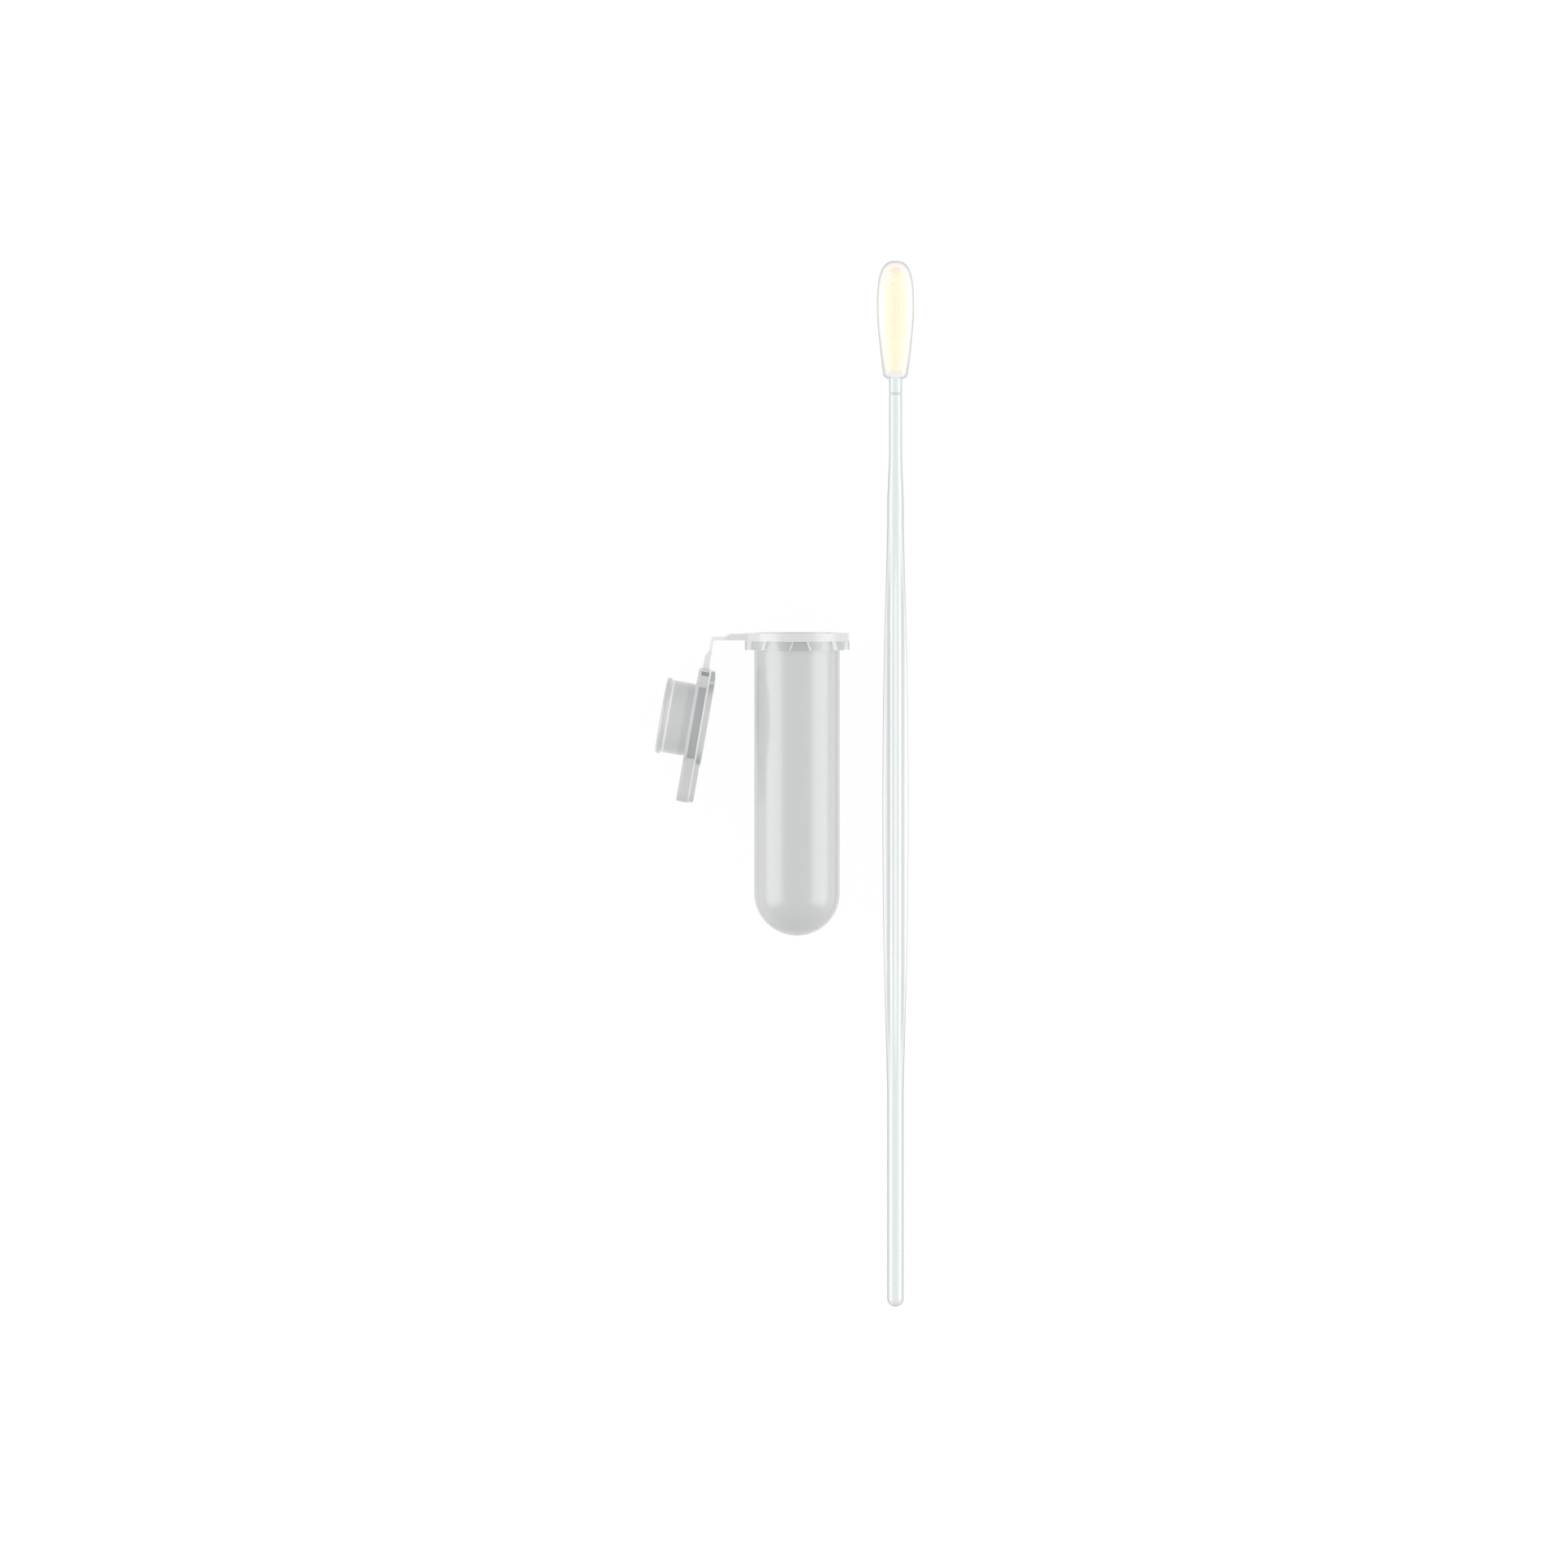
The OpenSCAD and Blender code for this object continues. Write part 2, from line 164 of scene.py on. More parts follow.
# the wound cotton is a little fuller at the shoulder of the dome than its solid
BUD_SHOULDER = 3.4
BUD_BLUNT = 2.7
# rounding of the inner layers' noses; their feet are half as round
LAYER_ROUND = 1.2 * MM
# length of the shallow lumps of the wound layers, and their depth as a share of the radius
LAYER_LUMP = 1.2 * MM
INNER_LUMP = 0.04
SKIN_LUMP = 0.015
# real fibres are 0.015 to 0.02 mm wide, and a little wider here to show
FIBRE_W = 0.022 * MM
# shortest and longest fibre round the tip, in mm
FIBRE_LEN = (1.2, 3.0)
# how far a fibre runs along the swab for each length round it, at most
FIBRE_SLANT = 0.6
# turn of a flat fibre about its length, in half turns, where 0.5 lies flat on the tip
FIBRE_ROLL = (0.4, 0.6)
# share of the tip's length at each of its ends where no fibre has its middle
FIBRE_FREE = 0.004
# how near a fibre comes to either end of the tip
FIBRE_END = 0.02 * MM
# where the tip is thinner than this radius, a fibre goes no farther round than at this one
FIBRE_BEND = 0.5 * MM
FIBRE_PARTS = 5

# ------------------------------------------------------------------ materials

# size of the faint clouds left by the melt as it flowed, in mm
FLOW_CLOUD = 4.0
# size of the moulded skin's slight unevenness, in mm
MOULD_PEEL = 0.7
# length of the faint streaks in the shaft's gloss, in mm
FLOW_STREAK = 3.0
# size of the small lumps of wound cotton, in mm
COTTON_LUMP = 0.3
# spacing of the painted highlight lines along a fin's crest, in mm
CREST_HIGHLIGHT_LINE = 0.56
# how far inside each end of the fins their tones, with their painted highlights and shade, are half there, and the
# fade's length, in mm
GRIP_INSET = 6.0
GRIP_FADE = 9.0
# half the height of the break mark's painted shade, in mm
MARK_HALF = 0.16


def linear(code):
    """Linear colour of an sRGB hex code such as CBCCCC."""
    parts = [int(code[i:i + 2], 16) / 255 for i in (0, 2, 4)]
    return [c / 12.92 if c <= 0.04045 else ((c + 0.055) / 1.055) ** 2.4 for c in parts] + [1.0]


def add(tree, kind, inputs=None, **settings):
    """Adds a node with its settings, and sets or links its inputs."""
    made = tree.nodes.new(kind)
    for name, value in settings.items():
        setattr(made, name, value)
    for socket, value in (inputs or {}).items():
        if isinstance(value, bpy.types.NodeSocket):
            tree.links.new(value, made.inputs[socket])
        else:
            made.inputs[socket].default_value = value
    return made


def new_material(name):
    """A material with an empty node tree and its output node."""
    material = bpy.data.materials.new(name)
    material.use_nodes = True
    material.node_tree.nodes.clear()
    return material, material.node_tree, add(material.node_tree, "ShaderNodeOutputMaterial")


def finish_material(tree, output, shader):
    """Links a shader to the material's output."""
    tree.links.new(shader.outputs[0], output.inputs["Surface"])


def wander(tree, noise_value, low, high):
    """A value that wanders softly between low and high with a noise."""
    return add(tree, "ShaderNodeMapRange", {
        "Value": noise_value, "From Min": 0.3, "From Max": 0.7, "To Min": low, "To Max": high},
        interpolation_type="SMOOTHSTEP").outputs["Result"]


def along(tree, place, origin, direction):
    """Distance of a point from an origin along a direction, in millimetres."""
    scaled = add(tree, "ShaderNodeVectorMath", {
        0: place, 1: direction / MM}, operation="DOT_PRODUCT")
    moved = add(tree, "ShaderNodeMath", {
        0: scaled.outputs["Value"], 1: origin.dot(direction) / MM}, operation="SUBTRACT")
    return moved.outputs["Value"]


def apart(tree, place, origin, direction):
    """The same distance, counted positive both ways."""
    signed = along(tree, place, origin, direction)
    return add(tree, "ShaderNodeMath", {0: signed}, operation="ABSOLUTE").outputs[0]


def off_axis(tree, place, origin, direction):
    """Distance of a point from an axis, in millimetres."""
    arm = add(tree, "ShaderNodeVectorMath", {0: place, 1: origin}, operation="SUBTRACT")
    turned = add(tree, "ShaderNodeVectorMath", {
        0: arm.outputs[0], 1: direction / MM}, operation="CROSS_PRODUCT")
    return add(tree, "ShaderNodeVectorMath", {
        0: turned.outputs[0]}, operation="LENGTH").outputs["Value"]


def paint(tree, measures, base, zones):
    """A base tone with the tones of zones laid over it in order. A tone is a hex code or a
    colour socket. A zone is its name, its tone and its limits, and each limit is a measure,
    where the zone starts and ends in it, and how wide those edges are. Most are in mm."""
    def colour(tone):
        return tone if isinstance(tone, bpy.types.NodeSocket) else linear(tone)

    result = colour(base)
    for _, tone, *limits in zones:
        amount = 1.0
        for measure, start, end, soft in limits:
            for at, way in ((start, 0.5), (end, -0.5)):
                if at is None:
                    continue
                edge = add(tree, "ShaderNodeMapRange", {
                    "Value": measures[measure],
                    "From Min": at - way * soft,
                    "From Max": at + way * soft}, interpolation_type="SMOOTHSTEP")
                amount = add(tree, "ShaderNodeMath", {
                    0: amount, 1: edge.outputs["Result"]}, operation="MULTIPLY").outputs[0]
        result = add(tree, "ShaderNodeMix", {
            0: amount, 6: result, 7: colour(tone)}, data_type="RGBA").outputs[2]
    return result


def natural_polypropylene(name, tones):
    """Natural polypropylene, injection moulded: milky, waxy and softly glossy, with faint
    flow clouds. Its tone goes by the place on the moulding: a thick section is milkier than
    a wall, and the tones hold painted shade and painted highlights too. tones(tree, place)
    gives the colour socket from the point's place in the frame."""
    material, tree, output = new_material(name)
    place = add(tree, "ShaderNodeTexCoord").outputs["Object"]
    clouds = add(tree, "ShaderNodeTexNoise", {
        "Vector": place, "Scale": 1 / (FLOW_CLOUD * MM), "Detail": 2.0, "Roughness": 0.4})
    peel = add(tree, "ShaderNodeTexNoise", {
        "Vector": place, "Scale": 1 / (MOULD_PEEL * MM), "Detail": 1.0})
    bump = add(tree, "ShaderNodeBump", {
        "Height": peel.outputs["Fac"], "Strength": 0.05, "Distance": 0.02 * MM})
    shader = add(tree, "ShaderNodeBsdfPrincipled", {
        "Base Color": tones(tree, place),
        "Roughness": wander(tree, clouds.outputs["Fac"], 0.22, 0.26),
        "IOR": 1.49,
        "Coat Weight": 1.0,
        "Coat Roughness": 0.3,
        "Coat IOR": 1.49,
        "Subsurface Weight": 0.15,
        "Subsurface Radius": (1.0, 1.0, 1.0),
        "Subsurface Scale": 0.6 * MM,
        "Normal": bump.outputs["Normal"]})
    finish_material(tree, output, shader)
    return material


def tube_tones(tree, place):
    """The thin wall is greyer than the solid collar and the strap, and has painted shade
    along its two sides, darkest at its outline. The ribs' faces and the recesses between
    them have painted shade, made lighter with painted light farther to either side, and
    the ribs' flanks have painted highlights."""
    # level is 0 along the two sides, in the plane that the cap swings in
    measures = {
        "height": along(tree, place, MOUTH, OUT_OF_MOUTH),
        "radius": off_axis(tree, place, MOUTH, OUT_OF_MOUTH),
        "sideways": apart(tree, place, MOUTH, TOWARD_HINGE),
        "level": apart(tree, place, MOUTH, HINGE_AXIS)}
    body = ("height", None, -2.25, 0.1)
    ribs = ("height", -2.14, -0.98, 0.04)
    # painted shade in the recesses, with painted light farther to either side
    recess = paint(tree, measures, "B0B2B2", (
        ("painted light toward the sides", "C6C7C7", ("sideways", 2.3, None, 1.4)),))
    # painted shade on the ribs' faces, with painted light farther to either side
    face = paint(tree, measures, "B0B2B2", (
        ("painted light toward the sides", "BCBEBE", ("sideways", 1.6, None, 1.6)),))
    return paint(tree, measures, "C6C7C7", (
        ("collar", "D6D7D7", ("height", -0.98, None, 0.08)),
        # painted shade along the wall's two sides, darkest at its outline
        ("painted shade on the wall's sides", "BBBCBC", body, ("level", None, 2.5, 0.4),
         ("height", -37.25, None, 1.3)),
        ("painted shade at the wall's outline", "B0B1B1", body, ("level", None, 1.4, 1.0)),
        # painted shade in the recesses and on the ribs' faces, painted highlights on the ribs' flanks
        ("recesses", recess, ribs, ("radius", 5.15, 5.77, 0.06)),
        ("painted highlight on the ribs' flanks", "E8E9E9", ribs, ("radius", 5.86, 6.46, 0.08)),
        ("painted shade on the ribs' faces", face, ribs, ("radius", 6.53, None, 0.06))))


def cap_tones(tree, place):
    """The thick plate has painted shade in its groove, its heel's pocket and at the plug's root,
    and painted highlights along its lip and step and behind the bead. It is lighter on the
    strap's leaf. The heel's back and the ends of the disc's edge have painted shade too."""
    hinge_side = OPENED @ TOWARD_HINGE
    measures = {
        "height": along(tree, place, CAP_MIDDLE, CAP_OUT),
        "radius": off_axis(tree, place, CAP_MIDDLE, CAP_OUT),
        "reach": along(tree, place, CAP_MIDDLE, hinge_side),
        "off_middle": apart(tree, place, CAP_MIDDLE, hinge_side),
        "level": apart(tree, place, CAP_MIDDLE, HINGE_AXIS)}
    back = ("height", 1.7, None, 0.08)
    return paint(tree, measures, "C6C7C7", (
        # painted highlight behind the bead, painted shade at the plug's root, painted highlight along the lip
        ("painted highlight behind the bead", "E8E9E9", ("height", -2.88, -2.62, 0.16)),
        ("root of the plug", "BBBCBD", ("height", -0.85, 0.03, 0.5)),
        ("lip", "CCCDCD", ("height", 0.04, 0.44, 0.03)),
        # painted shade in the groove and in the heel's pocket, painted highlight along the step
        ("groove", "A6A8AA", ("height", 0.44, 1.42, 0.03), ("radius", None, 5.79, 0.1)),
        ("painted shade in the heel's pocket", "9A9C9E", ("height", 0.46, 1.4, 0.03), ("reach", 5.88, 6.36, 0.03),
         ("level", None, 3.25, 0.1)),
        ("step", "E2E3E3", ("height", 1.46, 1.62, 0.04)),
        # painted shade at the ends of the disc's edge and on the heel's back
        ("ends of the disc's edge", "A4A6A8", back, ("radius", 5.4, 6.2, 0.2),
         ("off_middle", 4.0, None, 2.0)),
        ("painted shade on the heel's back", "A9ABAD", back, ("reach", 5.3, 6.6, 0.2)),
        ("leaf of the strap", "DEDFDF", ("reach", 6.78, None, 0.12))))


def strap_tones(tree, place):
    """The web is milky and nearly even, and a little darker toward the tube's leaf."""
    measures = {"height": along(tree, place, MOUTH, OUT_OF_MOUTH)}
    return paint(tree, measures, "EAEBEB", (
        ("toward the tube's leaf", "E4E5E5", ("height", -2.0, None, 4.0)),))


def polystyrene():
    """White polystyrene, injection moulded: bright, faintly bluish and glossy, with a little
    light let into its skin. Its tone holds painted highlights along the fins' crests and
    edges and in bands on the round shaft, and painted shade in the roots between the fins,
    along the shaft's sides and in the break mark."""
    material, tree, output = new_material("polystyrene_moulded_white")
    place = add(tree, "ShaderNodeTexCoord").outputs["Object"]
    streaks = add(tree, "ShaderNodeTexNoise", {
        "Vector": place, "Scale": 1 / (FLOW_STREAK * MM), "Detail": 1.0})
    radius = off_axis(tree, place, SWAB_END, SWAB_ALONG)
    level = apart(tree, place, SWAB_END, SWAB_UP)
    sideways = apart(tree, place, SWAB_END, SWAB_SIDE)
    # distance from the nearer one of the two planes that the crests lie in
    off_crest = add(tree, "ShaderNodeMath", {
        0: sideways, 1: level}, operation="MINIMUM").outputs[0]
    highlight_wave = add(tree, "ShaderNodeMath", {
        0: off_crest, 1: 2 * math.pi / CREST_HIGHLIGHT_LINE}, operation="MULTIPLY").outputs[0]
    measures = {
        "from_end": along(tree, place, SWAB_END, SWAB_ALONG),
        "radius": radius,
        "level": level,
        "off_crest": off_crest,
        # 1 on a painted highlight line and -1 between two
        "line": add(tree, "ShaderNodeMath", {0: highlight_wave}, operation="COSINE").outputs[0],
        # 1 along the top and the bottom of the round part, and 0 at its sides
        "round": add(tree, "ShaderNodeMath", {0: level, 1: radius}, operation="DIVIDE").outputs[0]}
    # painted highlight lines on the fins' crests, painted highlights on their edges, painted shade in the roots
    fins = paint(tree, measures, "E0E4E5", (
        ("painted highlight lines", "F4F8F8", ("line", 0.0, None, 2.0)),
        ("edges", "F8FAFA", ("radius", 1.38, None, 0.12), ("off_crest", 0.62, None, 0.08)),
        ("roots", "D3D7D8", ("radius", None, 1.28, 0.24), ("off_crest", 0.58, None, 0.16))))
    # painted shade toward the round shaft's sides, painted light on its shoulders, a middle tone on top and bottom
    plain = paint(tree, measures, "DADEDF", (
        ("shoulders", "EBEFF0", ("round", 0.725, None, 0.25)),
        ("top and bottom", "E2E6E7", ("round", 0.895, None, 0.11))))
    cone = (SHAFT_TOP + NECK_TAPER / 2) / MM
    # painted shade along the shaft's sides, lighter on the neck
    sides = paint(tree, measures, "B2B6B7", (
        ("neck", "C8CCCD", ("from_end", cone, None, NECK_TAPER / MM)),))
    middle, half = FIN_MID / MM, FIN_LEN / 2 / MM - GRIP_INSET
    mark = BREAK_AT / MM
    tone = paint(tree, measures, plain, (
        ("grip", fins, ("from_end", middle - half, middle + half, GRIP_FADE)),
        # painted shade along the sides
        ("sides", sides, ("level", None, 0.51, 0.42)),
        # painted shade of the break mark's groove, which is shallower here than in its solid
        ("break mark", "CBD0D1", ("from_end", mark - MARK_HALF, mark + MARK_HALF, 0.12))))
    shader = add(tree, "ShaderNodeBsdfPrincipled", {
        "Base Color": tone,
        "Roughness": wander(tree, streaks.outputs["Fac"], 0.2, 0.26),
        "IOR": 1.59,
        "Subsurface Weight": 0.1,
        "Subsurface Radius": (1.0, 1.0, 1.0),
        "Subsurface Scale": 0.4 * MM})
    finish_material(tree, output, shader)
    return material


def cotton(name, tones, cover, side_shade=None):
    """Cotton wound on the shaft's end, matt and fleecy. It covers what lies behind it only
    in part, so the layers show through each other, as loose fibres let them. With a side
    shade, it has painted shade round its sides."""
    material, tree, output = new_material(name)
    place = add(tree, "ShaderNodeTexCoord").outputs["Object"]
    fibres = add(tree, "ShaderNodeTexNoise", {
        "Vector": place, "Scale": 1 / (COTTON_LUMP * MM), "Detail": 3.0, "Roughness": 0.6})
    bump = add(tree, "ShaderNodeBump", {
        "Height": fibres.outputs["Fac"], "Strength": 0.2, "Distance": 0.04 * MM})
    measures = {"lump": fibres.outputs["Fac"]}
    tone = paint(tree, measures, tones[0], (("lumps", tones[1], ("lump", 0.5, None, 0.4)),))
    if side_shade:
        # painted shade round the sides, near the level plane through the swab's axis
        measures["level"] = apart(tree, place, SWAB_END, SWAB_UP)
        tone = paint(tree, measures, tone, (("sides", side_shade, ("level", None, 0.925, 0.95)),))
    shader = add(tree, "ShaderNodeBsdfPrincipled", {
        "Base Color": tone,
        "Roughness": 0.95,
        "Specular IOR Level": 0.1,
        "Sheen Weight": 0.4,
        "Sheen Roughness": 0.5,
        "Alpha": cover,
        "Normal": bump.outputs["Normal"]})
    finish_material(tree, output, shader)
    return material


# ------------------------------------------------------------------ the pieces

# how finely the meshes are divided
SHAFT_SIDES = 128
END_RINGS, BODY_RINGS, CONE_RINGS, NECK_RINGS, MARK_RINGS = 10, 110, 8, 7, 16
LAYER_SIDES, LAYER_RINGS = 96, 120
WEB_STEPS = 10
CORNER_STEPS = 3
# edges of the web that turn more than this stay sharp
SHARP_EDGE = math.radians(50)


def set_material(piece, material):
    """Gives a piece one material in place of what it has."""
    piece.data.materials.clear()
    piece.data.materials.append(material)


def new_piece(name, points, faces, material, smooth=True):
    """A mesh piece from its points and faces."""
    mesh = bpy.data.meshes.new(name)
    mesh.from_pydata(points, [], faces)
    mesh.validate()
    mesh.polygons.foreach_set("use_smooth", [smooth] * len(mesh.polygons))
    piece = bpy.data.objects.new(name, mesh)
    bpy.context.scene.collection.objects.link(piece)
    piece.data.materials.append(material)
    return piece


def ring_faces(rings, sides, first_pole=None, last_pole=None):
    """Faces between rings of points that lie one after another, closed at the poles."""
    faces = []
    for r in range(rings - 1):
        for s in range(sides):
            a, b = r * sides + s, r * sides + (s + 1) % sides
            faces.append((a, b, b + sides, a + sides))
    for s in range(sides):
        if first_pole is not None:
            faces.append((first_pole, (s + 1) % sides, s))
        if last_pole is not None:
            base = (rings - 1) * sides
            faces.append((last_pole, base + s, base + (s + 1) % sides))
    return faces


def rows(start, end, steps):
    """Places from start to end, both included, in equal steps."""
    return [start + (end - start) * i / steps for i in range(steps + 1)]


def above_surface(points):
    """The points, with those that lie below the surface lifted onto it."""
    return [Vector((p.x, p.y, max(p.z, 0.0))) for p in points]


def soft_min(a, b, blend):
    """The smaller of two numbers, rounded where they meet."""
    h = max(0.0, min(1.0, 0.5 + 0.5 * (b - a) / blend))
    return b + (a - b) * h - blend * h * (1 - h)


def swab_point(distance, radius, angle):
    """Point of the swab at a distance from its round end, on a ring about its axis."""
    return (SWAB_END + SWAB_ALONG * distance
            + (SWAB_SIDE * math.cos(angle) + SWAB_UP * math.sin(angle)) * radius)


def core_radius(z):
    """Radius of the turned part of the shaft at a distance from its round end."""
    if z < SHAFT_R:
        return math.sqrt(max(0.0, SHAFT_R ** 2 - (SHAFT_R - z) ** 2))
    if z < SHAFT_TOP:
        return SHAFT_R
    if z < NECK_START:
        return SHAFT_R + (NECK_R - SHAFT_R) * (z - SHAFT_TOP) / NECK_TAPER
    groove = max(0.0, 1 - (abs(z - BREAK_AT) / (BREAK_H / 2)) ** 2)
    return NECK_R - BREAK_IN * min(1.0, BREAK_STEEP * groove)


def shaft_radius(z, angle):
    """Radius of the shaft with its four fins, their edges and roots rounded."""
    core = core_radius(z)
    if abs(z - FIN_MID) > FIN_LEN / 2 + FIN_FADE:
        return core
    crest = math.sqrt(FIN_ARC ** 2 - (z - FIN_MID) ** 2) - FIN_ARC + FIN_R
    off_fin = abs((angle + FIN_TURN / 2) % FIN_TURN - FIN_TURN / 2)
    # the flank runs off to infinity at the middle of the crest
    flank = FIN_HALF_W / max(math.sin(off_fin), 1e-4)
    fin = soft_min(crest, flank, CREST_ROUND)
    return max(core, -soft_min(-core, -fin, ROOT_ROUND) - ROOT_ROUND / 4)


def finned_shaft(material):
    """The shaft as one moulding: round end, grip with four fins, cone, neck and break mark."""
    end = [SHAFT_R * (1 - math.cos(a * math.pi / 2 / END_RINGS)) for a in range(1, END_RINGS)]
    body = rows(SHAFT_R, SHAFT_TOP, BODY_RINGS)
    cone = rows(SHAFT_TOP, NECK_START, CONE_RINGS)[1:]
    neck = rows(NECK_START, NECK_START + NECK_RINGS * MM, NECK_RINGS)[1:]
    mark = rows(BREAK_AT - MARK_REACH, BREAK_AT + MARK_REACH, MARK_RINGS)
    rings = end + body + cone + neck + mark
    rings += [BREAK_AT + MARK_CLEAR, BUD_START, BUD_START + SHAFT_HIDDEN]
    points = []
    for z in rings:
        for s in range(SHAFT_SIDES):
            angle = 2 * math.pi * s / SHAFT_SIDES
            points.append(swab_point(z, shaft_radius(z, angle), angle))
    points += [swab_point(0, 0, 0), swab_point(rings[-1], 0, 0)]
    faces = ring_faces(len(rings), SHAFT_SIDES, len(points) - 2, len(points) - 1)
    return new_piece("finned_shaft", points, faces, material)


def bud_radius(d):
    """Radius of the fibre tip at a distance from its end."""
    if d < BUD_BELLY:
        return BUD_R * (1 - (1 - d / BUD_BELLY) ** BUD_SHOULDER) ** (1 / BUD_BLUNT)
    share = (d - BUD_BELLY) / (BUD_LEN - BUD_BELLY)
    radius = BUD_R - (BUD_R - BUD_FOOT_R) * share ** BUD_TAPER
    over = d - (BUD_LEN - BUD_ROUND)
    if over > 0:
        radius -= BUD_ROUND - math.sqrt(max(0.0, BUD_ROUND ** 2 - over ** 2))
    return radius


def wound_layer(name, material, share, nose=0.0, foot=0.0, lump=INNER_LUMP):
    """A closed layer of wound cotton with slight lumps. It has a share of the tip's radius,
    and ends short of the tip's round nose and of its foot."""
    points = []
    for i in range(1, LAYER_RINGS + 1):
        d = nose + (BUD_LEN - foot - nose) * (1 - math.cos(math.pi * i / LAYER_RINGS)) / 2
        radius = share * bud_radius(d)
        if nose:
            inset = min(1.0, (d - nose) / LAYER_ROUND, (BUD_LEN - foot - d) / LAYER_ROUND * 2)
            radius *= math.sqrt(max(0.0, inset * (2 - inset)))
        for s in range(LAYER_SIDES):
            angle = 2 * math.pi * s / LAYER_SIDES
            at = swab_point(SWAB_LEN - d, radius, angle)
            lumps = 1 - lump * (0.5 + 0.5 * noise(at / LAYER_LUMP))
            points.append(swab_point(SWAB_LEN - d, radius * lumps, angle))
    points += [swab_point(SWAB_LEN - nose, 0, 0), swab_point(BUD_START + foot, 0, 0)]
    faces = ring_faces(LAYER_RINGS, LAYER_SIDES, len(points) - 2, len(points) - 1)
    return new_piece(name, above_surface(points), faces, material)


def fleece(name, material, count, inner, outer, seed):
    """Flat fibres wound round the core, each an arc of its own, from inner to outer share of
    the tip's radius."""
    draw = random.Random(seed)
    points, faces = [], []
    for _ in range(count):
        d = BUD_LEN * draw.uniform(FIBRE_FREE, 1 - FIBRE_FREE)
        angle = 2 * math.pi * draw.random()
        length = draw.uniform(*FIBRE_LEN) * MM
        slant = draw.uniform(-FIBRE_SLANT, FIBRE_SLANT)
        share = inner + (outer - inner) * math.sqrt(draw.random())
        roll = math.pi * draw.uniform(*FIBRE_ROLL)
        start = len(points)
        for k in range(FIBRE_PARTS + 1):
            t = k / FIBRE_PARTS - 0.5
            dd = min(max(d + slant * length * t, FIBRE_END), BUD_LEN - FIBRE_END)
            radius = share * bud_radius(dd)
            turn = angle + length * t / max(radius, FIBRE_BEND)
            out = SWAB_SIDE * math.cos(turn) + SWAB_UP * math.sin(turn)
            half = (out * math.cos(roll) + SWAB_ALONG * math.sin(roll)) * FIBRE_W / 2
            at = swab_point(SWAB_LEN - dd, max(radius - FIBRE_W / 2, 0.0), turn)
            points += [at - half, at + half]
        for k in range(FIBRE_PARTS):
            a = start + 2 * k
            faces.append((a, a + 1, a + 3, a + 2))
    return new_piece(name, above_surface(points), faces, material, smooth=False)


def web_section():
    """Outline of the web across its length, with rounded edges, from its middle."""
    section = []
    for sx, sy in ((1, 1), (-1, 1), (-1, -1), (1, -1)):
        for k in range(CORNER_STEPS + 1):
            a = math.atan2(sy, sx) + (k / CORNER_STEPS - 0.5) * math.pi / 2
            section.append((sx * (STRAP_W / 2 - WEB_CORNER) + WEB_CORNER * math.cos(a),
                            sy * (WEB_T / 2 - WEB_CORNER) + WEB_CORNER * math.sin(a)))
    return section


def hinge_strip(material):
    """The thin web of the strap, from the end of the tube's leaf round the fold to the cap's.
    Returns the strip with the middles of its two ends."""
    tube_dir = TOWARD_HINGE
    cap_dir = OPENED @ -TOWARD_HINGE
    tube_end = MOUTH + TOWARD_HINGE * (COLLAR_R + TUBE_LEAF)
    tube_end += OUT_OF_MOUTH * ((HINGE_AT - tube_end).dot(OUT_OF_MOUTH) - WEB_OFF)
    cap_end = CAP_MIDDLE + OPENED @ TOWARD_HINGE * (CAP_HEEL + CAP_LEAF)
    cap_end += CAP_OUT * ((HINGE_AT - cap_end).dot(CAP_OUT) + WEB_OFF)
    # where the two straight lengths would meet
    turn = math.acos(tube_dir.dot(cap_dir))
    gap = cap_end - tube_end
    run = gap.cross(cap_dir).dot(HINGE_AXIS) / tube_dir.cross(cap_dir).dot(HINGE_AXIS)
    fold = tube_end + tube_dir * run
    # the arc between them, about a centre on the side that the cap turns to
    back = FOLD_R * math.tan(turn / 2)
    inner = HINGE_AXIS.cross(tube_dir)
    inner *= 1 if inner.dot(cap_dir) > 0 else -1
    centre = fold - tube_dir * back + inner * FOLD_R
    path = []
    for i in range(WEB_STEPS):
        path.append((tube_end + tube_dir * (run - back) * i / WEB_STEPS, -inner))
    for i in range(WEB_STEPS + 1):
        spin = Matrix.Rotation(turn * i / WEB_STEPS, 3, tube_dir.cross(inner))
        path.append((centre - spin @ inner * FOLD_R, -(spin @ inner)))
    cap_start, cap_back = path[-1]
    for i in range(1, WEB_STEPS + 1):
        path.append((cap_start.lerp(cap_end, i / WEB_STEPS), cap_back))
    section = web_section()
    sides = len(section)
    points = [at + HINGE_AXIS * u + out * v for at, out in path for u, v in section]
    faces = ring_faces(len(path), sides)
    faces += [tuple(reversed(range(sides))), tuple(range(len(points) - sides, len(points)))]
    piece = new_piece("hinge_strip", points, faces, material)
    piece.data.set_sharp_from_angle(angle=SHARP_EDGE)
    return piece, tube_end, cap_end


# ------------------------------------------------------------ build the object

tube_plastic = natural_polypropylene("polypropylene_moulded_tube", tube_tones)
cap_plastic = natural_polypropylene("polypropylene_moulded_cap", cap_tones)
strap_plastic = natural_polypropylene("polypropylene_moulded_strap", strap_tones)
set_material(frame["nodes"]["tube"], tube_plastic)
set_material(frame["nodes"]["cap"], cap_plastic)

strip, strip_start, strip_end = hinge_strip(strap_plastic)
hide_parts("hinge_web")
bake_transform(strip)

shaft = finned_shaft(polystyrene())
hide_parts("swab_shaft")
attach(shaft, "tube")

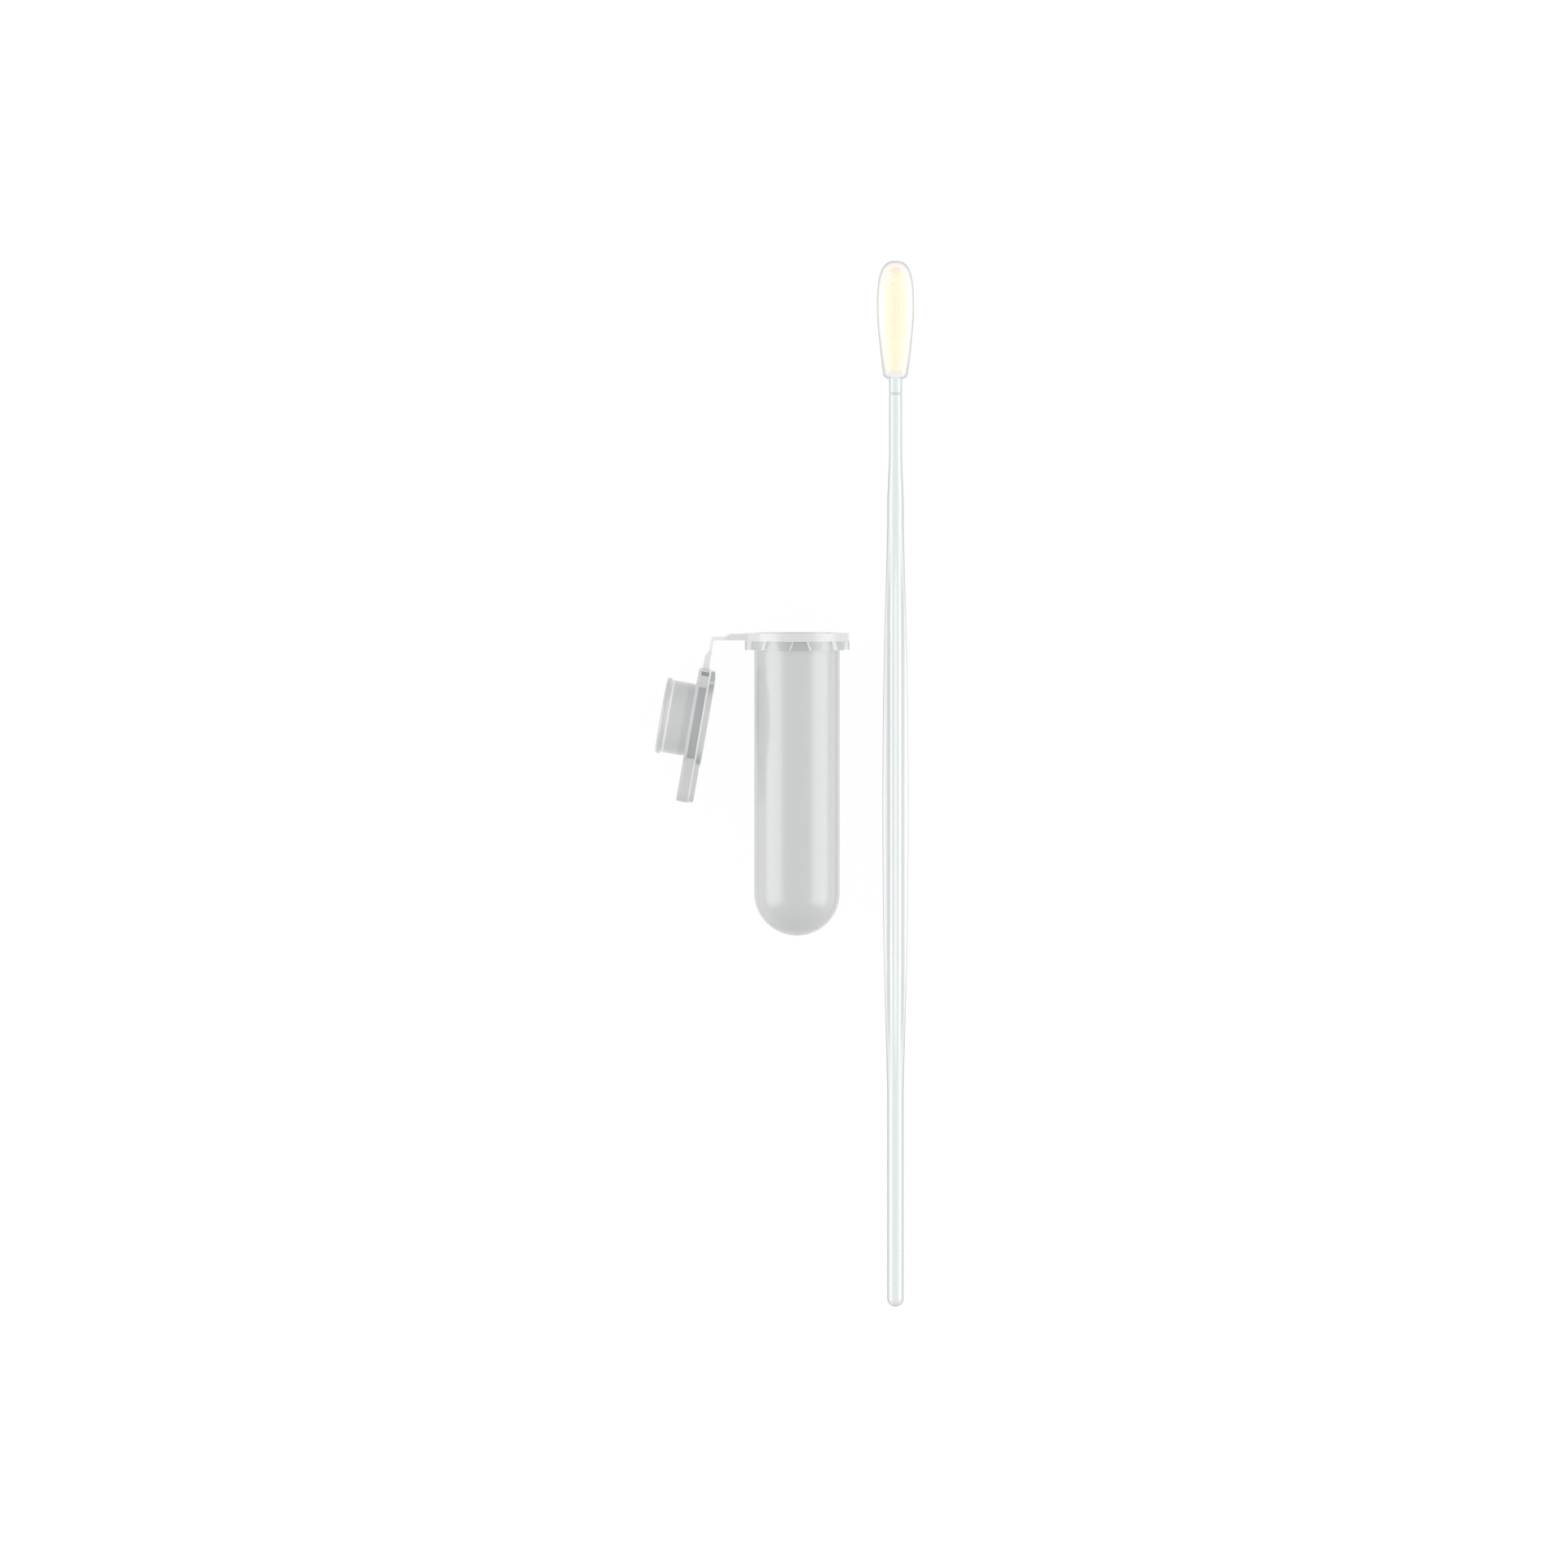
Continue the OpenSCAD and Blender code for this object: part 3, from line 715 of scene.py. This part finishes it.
# the skin lets half of what lies behind it show
# its last tone is painted shade round its sides
skin = cotton("cotton_fleece_white", ("F6F7F8", "FFFFFF"), 0.5, "B2B4B6")
bud = wound_layer("wound_fleece", skin, 1.0, lump=SKIN_LUMP)
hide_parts("swab_bud")
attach(bud, "tube")

# the cotton inside is creamier and closer toward the shaft
loose = cotton("cotton_wound_white", ("FFF8C2", "FFFBD0"), 0.35)
dense = cotton("cotton_wound_pale", ("FFEFAC", "FFF5BC"), 0.45)
core = cotton("cotton_wound_cream", ("FFC98E", "FFD5A0"), 1.0)
# its last tone is painted shade round its sides
wisps = cotton("cotton_fibre_white", ("F6F7F8", "FFFFFF"), 1.0, "D2D3D4")
for piece in (wound_layer("wound_outer", loose, 0.68, nose=0.7 * MM, foot=0.5 * MM),
              wound_layer("wound_middle", dense, 0.54, nose=0.8 * MM, foot=0.6 * MM),
              wound_layer("wound_core", core, 0.32, nose=0.9 * MM, foot=0.6 * MM),
              fleece("fleece_wisps", wisps, count=600, inner=0.97, outer=1.0, seed=8)):
    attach(piece, "tube")

# ------------------------------------------------------- floor, light, camera

# half the floor's width, in metres
FLOOR_HALF = 3.0
# how far the floor lies below the surface that the object rests on
FLOOR_DOWN = 0.01 * MM
# the floor's grey under the lamps, and the strength of its own white
FLOOR_GREY = "CDCDCD"
FLOOR_WHITE = 1.09
# share of the floor's white that does not depend on the lamps
FLOOR_GLOW = 0.82

# brightness of the light from all round, where 1 is white
ROOM_LEVEL = 0.62
# the softboxes' distance from the middle, how high they stand, and their width and height
BOX_DISTANCE = 0.6
BOX_RISE = math.radians(25)
BOX_SIZE = (0.66, 0.54)
# brightness of the softboxes' faces, where 1 is white
BOX_LEVEL = 2.0

# width of floor that the picture takes in, how far its middle lies from the object's, and
# a long lens straight above it
PICTURE_W = 198.15 * MM
PICTURE_SHIFT = 0.08 * MM
LENS, SENSOR = 200.0, 36.0
# nearest and farthest thing that the camera shows
NEAREST, FARTHEST = 0.01, 10.0


def seen_directly(tree):
    """1 for rays from the camera, and for what gloss and clear plastic show of it."""
    path = add(tree, "ShaderNodeLightPath")
    total = add(tree, "ShaderNodeMath", {
        0: path.outputs["Is Camera Ray"], 1: path.outputs["Is Glossy Ray"]}, operation="MAXIMUM")
    total = add(tree, "ShaderNodeMath", {
        0: total.outputs[0], 1: path.outputs["Is Transmission Ray"]}, operation="MAXIMUM")
    return total.outputs[0]


def make_floor():
    """A plain white floor that keeps a faint shadow of the object."""
    corners = [(x * FLOOR_HALF, y * FLOOR_HALF, -FLOOR_DOWN)
               for x, y in ((-1, -1), (1, -1), (1, 1), (-1, 1))]
    material, tree, output = new_material("floor_matt_white")
    matt = add(tree, "ShaderNodeBsdfDiffuse", {"Color": linear(FLOOR_GREY)})
    glow = add(tree, "ShaderNodeEmission", {"Color": linear("FFFFFF"), "Strength": FLOOR_WHITE})
    share = add(tree, "ShaderNodeMath", {
        0: seen_directly(tree), 1: FLOOR_GLOW}, operation="MULTIPLY")
    mixed = add(tree, "ShaderNodeMixShader", {
        0: share.outputs[0], 1: matt.outputs[0], 2: glow.outputs[0]})
    finish_material(tree, output, mixed)
    floor = new_piece("floor", corners, [(0, 1, 2, 3)], material, smooth=False)
    return floor


def make_world():
    """Soft even light from all round, and a white background."""
    world = bpy.data.worlds.new("soft_studio")
    bpy.context.scene.world = world
    world.use_nodes = True
    tree = world.node_tree
    tree.nodes.clear()
    level = add(tree, "ShaderNodeMapRange", {
        "Value": seen_directly(tree), "To Min": ROOM_LEVEL, "To Max": 1.0})
    sky = add(tree, "ShaderNodeBackground", {
        "Color": linear("FFFFFF"), "Strength": level.outputs["Result"]})
    finish_material(tree, add(tree, "ShaderNodeOutputWorld"), sky)


def softbox(name, at, size, power, stopped_by):
    """A rectangular soft lamp that faces the middle of the object. Only the things in
    stopped_by keep its light off: the milky mouldings and the cotton let it through."""
    lamp = bpy.data.lights.new(name, "AREA")
    lamp.shape = "RECTANGLE"
    lamp.size, lamp.size_y = size
    lamp.energy = power
    holder = bpy.data.objects.new(name, lamp)
    holder.location = at
    holder.rotation_mode = "QUATERNION"
    holder.rotation_quaternion = (-Vector(at)).to_track_quat("-Z", "Y")
    holder.light_linking.blocker_collection = stopped_by
    bpy.context.scene.collection.objects.link(holder)


opaque = bpy.data.collections.new("opaque")
opaque.objects.link(make_floor())
make_world()
for name, side in (("softbox_left", -1), ("softbox_right", 1)):
    place = Vector((side * math.cos(BOX_RISE), 0.0, math.sin(BOX_RISE))) * BOX_DISTANCE
    softbox(name, place, BOX_SIZE, BOX_LEVEL * math.pi * BOX_SIZE[0] * BOX_SIZE[1], opaque)

camera = bpy.data.objects.new("camera", bpy.data.cameras.new("camera"))
camera.data.lens, camera.data.sensor_width = LENS, SENSOR
camera.data.clip_start, camera.data.clip_end = NEAREST, FARTHEST
middle = (cad_box[0] + cad_box[1]) / 2
camera.location = (middle.x - PICTURE_SHIFT, middle.y, SWAB_TIP.z + PICTURE_W * LENS / SENSOR)
bpy.context.scene.collection.objects.link(camera)
bpy.context.scene.camera = camera
bpy.context.scene.view_settings.view_transform = "Standard"

bpy.context.view_layer.update()
